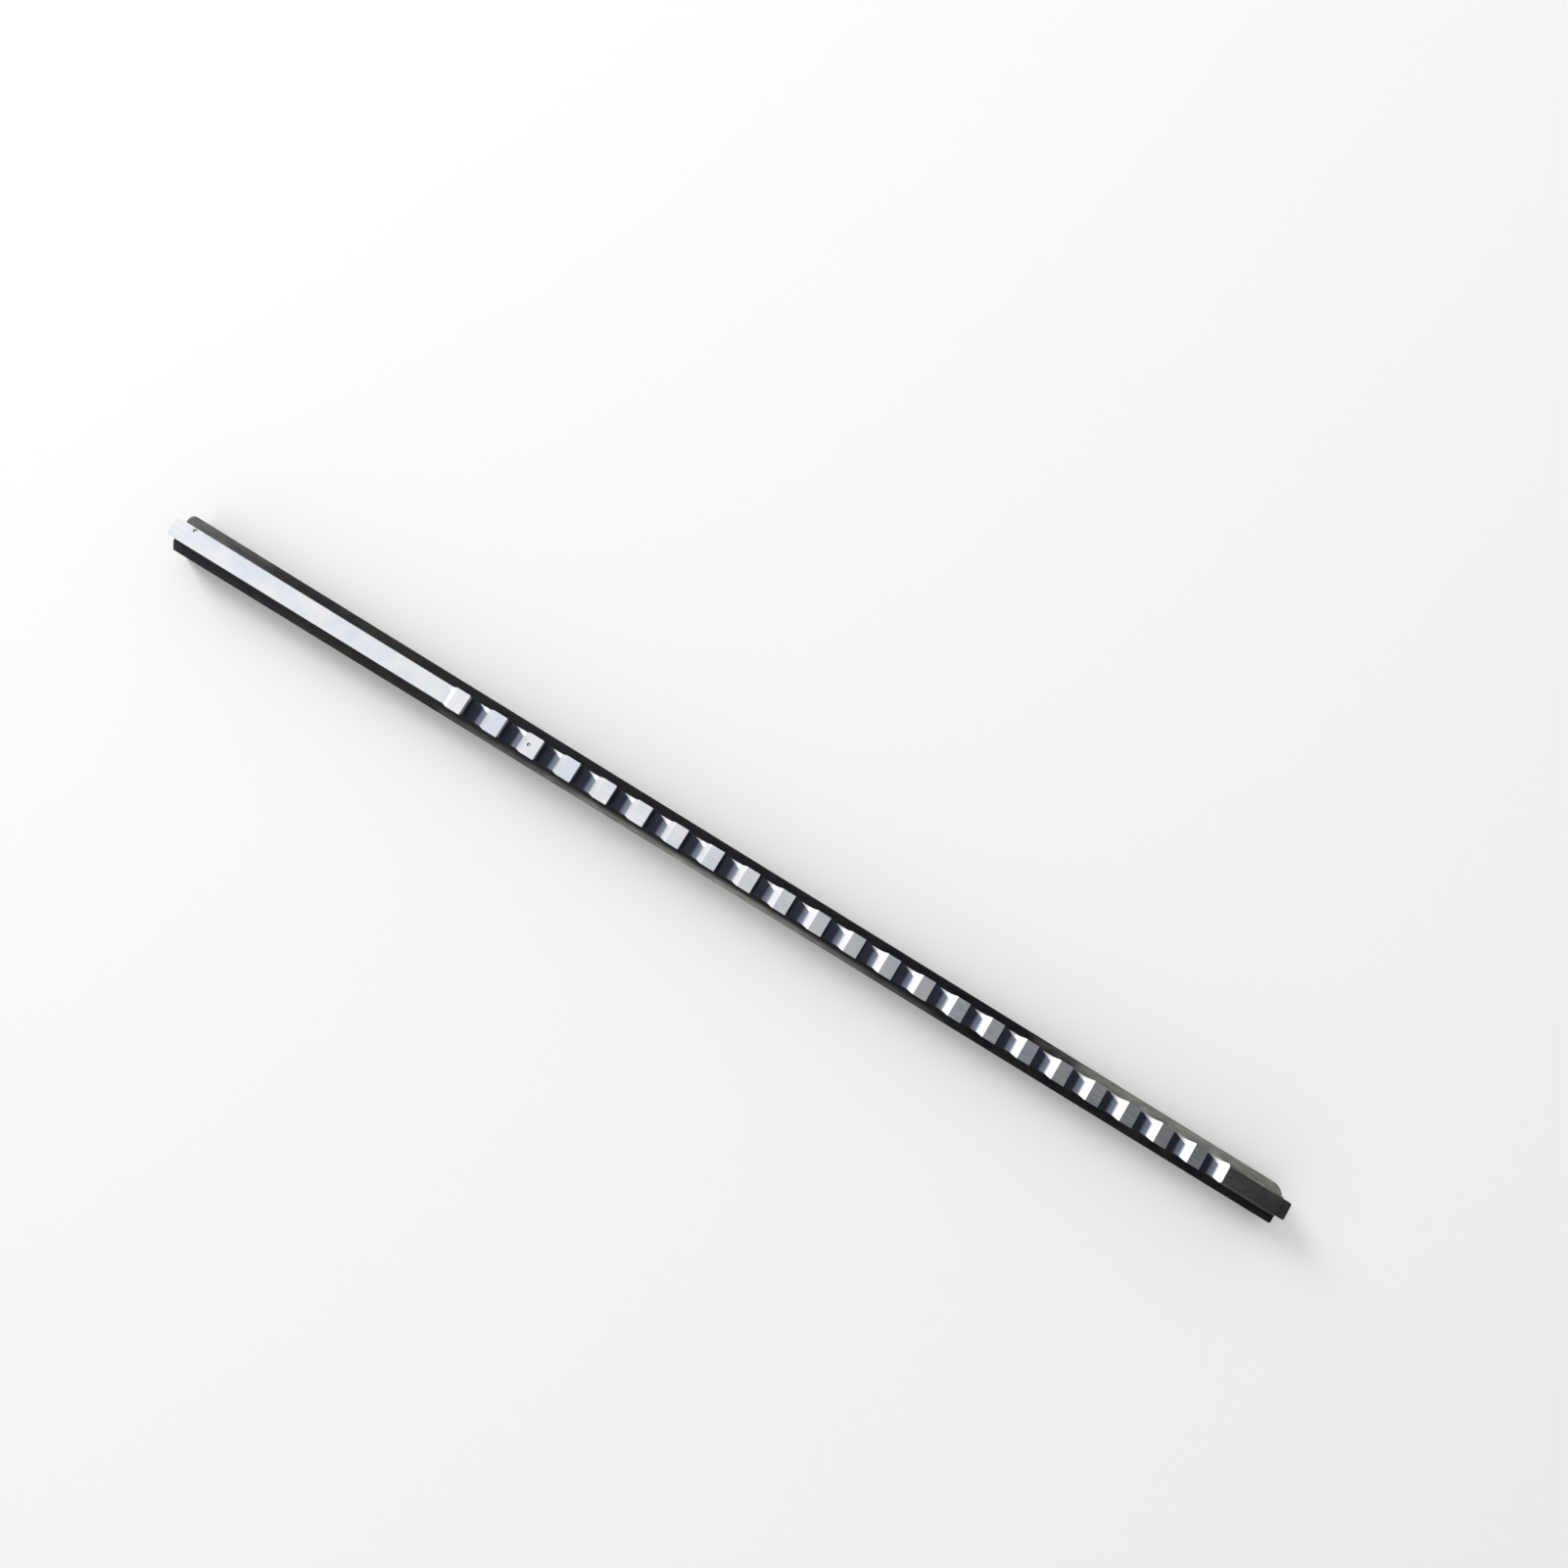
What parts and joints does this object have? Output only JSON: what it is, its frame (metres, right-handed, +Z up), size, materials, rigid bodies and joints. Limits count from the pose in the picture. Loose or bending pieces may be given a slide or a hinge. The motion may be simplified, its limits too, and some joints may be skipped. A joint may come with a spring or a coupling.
{
  "type": "keyway broach",
  "caption": "Push keyway broach: a flat-backed bar of T section in hardened tool steel, with a row of rising cutting teeth along its web, a plain shank behind and a short lead in front.",
  "frame": {"origin": "under the middle of the bar, on its flat back", "axes": "+X along the bar to its leading end, +Z up out of the back towards the teeth, +Y across the bar"},
  "size_m": [0.2998, 0.009, 0.0112],
  "materials": {
    "tool_steel": "black oxide on the body, bright ground on the shank's top, the lands and the gullets"
  },
  "bodies": {
    "root": {"broach": "tool_steel"}
  },
  "joints": []
}
